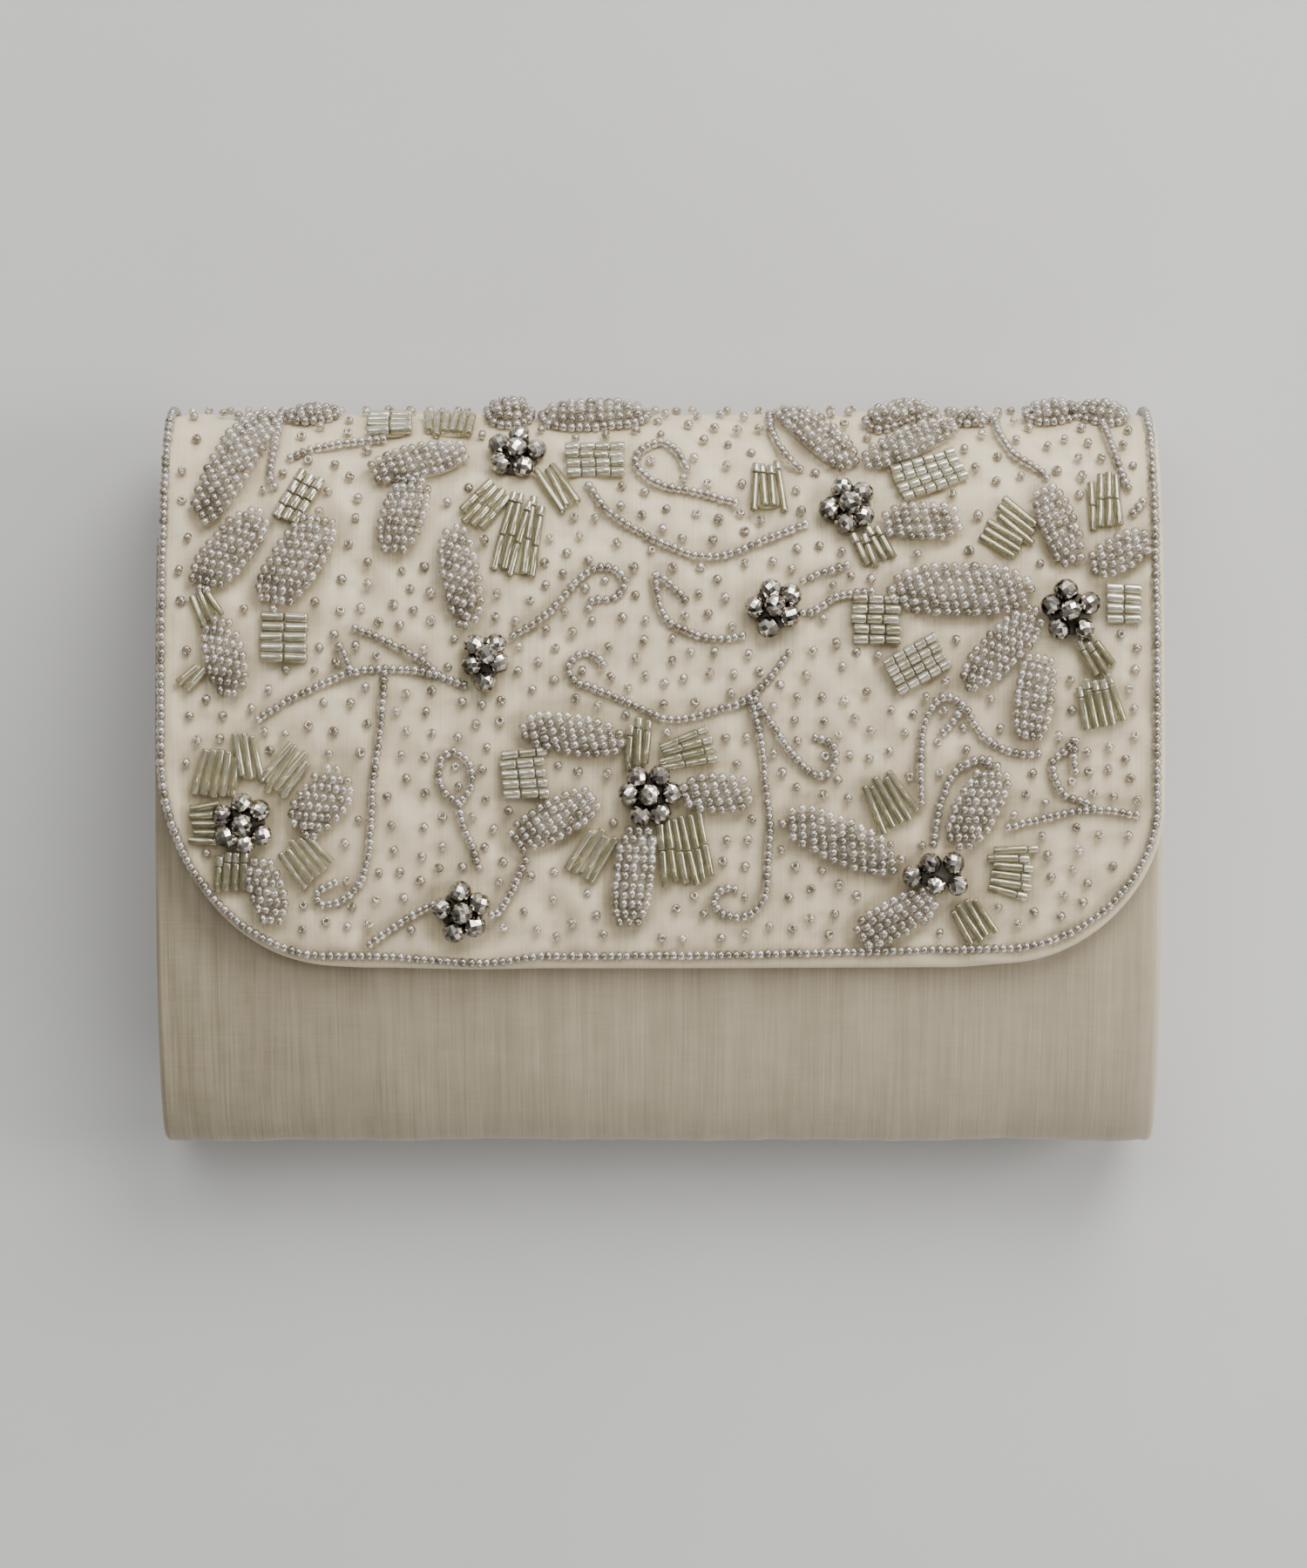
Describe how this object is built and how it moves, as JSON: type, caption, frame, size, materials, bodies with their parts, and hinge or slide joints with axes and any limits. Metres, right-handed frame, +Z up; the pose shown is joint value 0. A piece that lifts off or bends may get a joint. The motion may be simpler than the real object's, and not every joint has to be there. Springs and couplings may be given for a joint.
{
  "type": "beaded evening bag",
  "caption": "Flap clutch of padded silk, lying on its back: wrapped body with side gussets, flap rolled over the top and covered with raised bead flowers, leaves, vines and bugle bars.",
  "frame": {"origin": "middle of the bag's box, on the surface that its back lies on", "axes": "+X across the bag, +Y from its bottom to the top fold, +Z up out of its front"},
  "size_m": [0.193, 0.1448, 0.0506],
  "materials": {
    "silk_body": "slubbed silk, satin sheen, taupe",
    "silk_flap": "slubbed silk, satin sheen, pale champagne",
    "seed_beads": "silver-lined clear glass, polished",
    "bugle_beads": "silver-lined champagne glass, polished",
    "facet_beads": "faceted, dark mirror coating",
    "snap_metal": "plain"
  },
  "bodies": {
    "root": {"body_shell": "silk_body", "gusset_left": "silk_body", "gusset_right": "silk_body", "flap": "silk_flap", "flap_snap": "snap_metal", "edge_bead_string": "seed_beads", "flower_1": "facet_beads", "flower_2": "facet_beads", "flower_3": "facet_beads", "flower_4": "facet_beads", "flower_5": "facet_beads", "flower_6": "facet_beads", "flower_7": "facet_beads", "flower_8": "facet_beads", "flower_9": "facet_beads", "leaf_01": "seed_beads", "leaf_02": "seed_beads", "leaf_03": "seed_beads", "leaf_04": "seed_beads", "leaf_05": "seed_beads", "leaf_06": "seed_beads", "leaf_07": "seed_beads", "leaf_08": "seed_beads", "leaf_09": "seed_beads", "leaf_10": "seed_beads", "leaf_11": "seed_beads", "leaf_12": "seed_beads", "leaf_13": "seed_beads", "leaf_14": "seed_beads", "leaf_15": "seed_beads", "leaf_16": "seed_beads", "leaf_17": "seed_beads", "leaf_18": "seed_beads", "leaf_19": "seed_beads", "leaf_20": "seed_beads", "leaf_21": "seed_beads", "leaf_22": "seed_beads", "leaf_23": "seed_beads", "bugle_bar_1": "bugle_beads", "bugle_bar_2": "bugle_beads", "bugle_bar_3": "bugle_beads", "bugle_bar_4": "bugle_beads", "vine_01": "seed_beads", "vine_02": "seed_beads", "vine_03": "seed_beads", "vine_04": "seed_beads", "vine_05": "seed_beads", "vine_06": "seed_beads", "vine_07": "seed_beads", "vine_08": "seed_beads", "vine_09": "seed_beads", "vine_10": "seed_beads", "vine_11": "seed_beads", "vine_12": "seed_beads", "vine_13": "seed_beads", "vine_14": "seed_beads", "vine_15": "seed_beads"}
  },
  "joints": []
}
